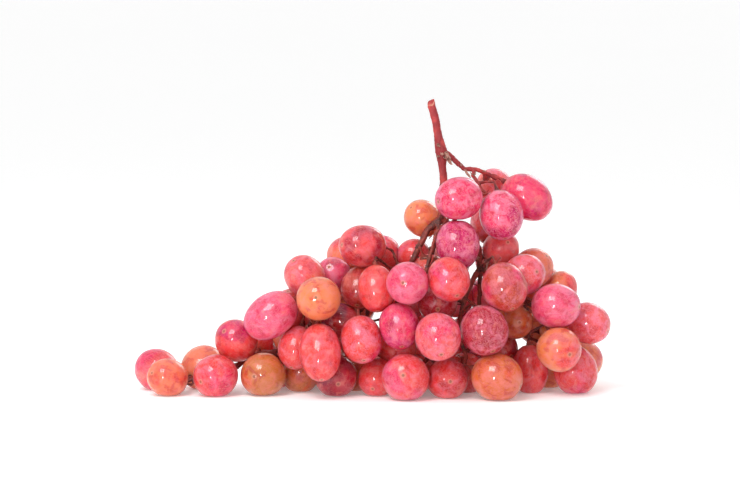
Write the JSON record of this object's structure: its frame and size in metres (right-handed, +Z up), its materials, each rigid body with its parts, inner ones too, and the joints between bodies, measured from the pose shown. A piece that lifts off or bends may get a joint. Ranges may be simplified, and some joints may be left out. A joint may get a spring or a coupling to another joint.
{
  "type": "bunch of grapes",
  "caption": "Resting heap of ripe red table grapes on a branched woody stem, with the stalk standing up at one side and a low tail of berries at the other.",
  "frame": {"origin": "middle of the bottom of the bounding box, on the surface that the lowest berries rest on", "axes": "+Z up, X along the heap with the low tail at -X and the stalk on the +X side, -Y the front"},
  "size_m": [0.2404, 0.1004, 0.148],
  "materials": {
    "berry_rose": "rose pink skin with a pale bloom, glossy where it is rubbed",
    "berry_crimson": "deep red skin with a mauve bloom",
    "berry_coral": "clear orange-red skin with fine pale specks",
    "berry_amber": "clear amber skin, blushed at one side",
    "stem": "dry red-brown bark, rough at the knots and receptacles"
  },
  "bodies": {
    "root": {"berry_01": "berry_rose", "berry_02": "berry_coral", "berry_03": "berry_coral", "berry_04": "berry_coral", "berry_05": "berry_rose", "berry_06": "berry_amber", "berry_07": "berry_rose", "berry_08": "berry_coral", "berry_09": "berry_rose", "berry_10": "berry_coral", "berry_11": "berry_crimson", "berry_12": "berry_amber", "berry_13": "berry_coral", "berry_14": "berry_rose", "berry_15": "berry_crimson", "berry_16": "berry_coral", "berry_17": "berry_coral", "berry_18": "berry_rose", "berry_19": "berry_rose", "berry_20": "berry_amber", "berry_21": "berry_coral", "berry_22": "berry_crimson", "berry_23": "berry_rose", "berry_24": "berry_crimson", "berry_25": "berry_coral", "berry_26": "berry_crimson", "berry_27": "berry_rose", "berry_28": "berry_crimson", "berry_29": "berry_rose", "berry_30": "berry_coral", "berry_31": "berry_coral", "berry_32": "berry_rose", "berry_33": "berry_coral", "berry_34": "berry_amber", "berry_35": "berry_coral", "berry_36": "berry_rose", "berry_37": "berry_crimson", "berry_38": "berry_amber", "berry_39": "berry_amber", "berry_40": "berry_coral", "berry_41": "berry_coral", "berry_42": "berry_coral", "berry_43": "berry_crimson", "berry_44": "berry_crimson", "cluster_01": "berry_crimson", "cluster_02": "berry_rose", "cluster_03": "berry_rose", "cluster_04": "berry_coral", "cluster_05": "berry_crimson", "cluster_06": "berry_crimson", "cluster_07": "berry_rose", "cluster_08": "berry_crimson", "cluster_09": "berry_crimson", "cluster_10": "berry_crimson", "cluster_11": "berry_rose", "cluster_12": "berry_coral", "cluster_13": "berry_rose", "cluster_14": "berry_coral", "cluster_15": "berry_amber", "stem": "stem"}
  },
  "joints": []
}
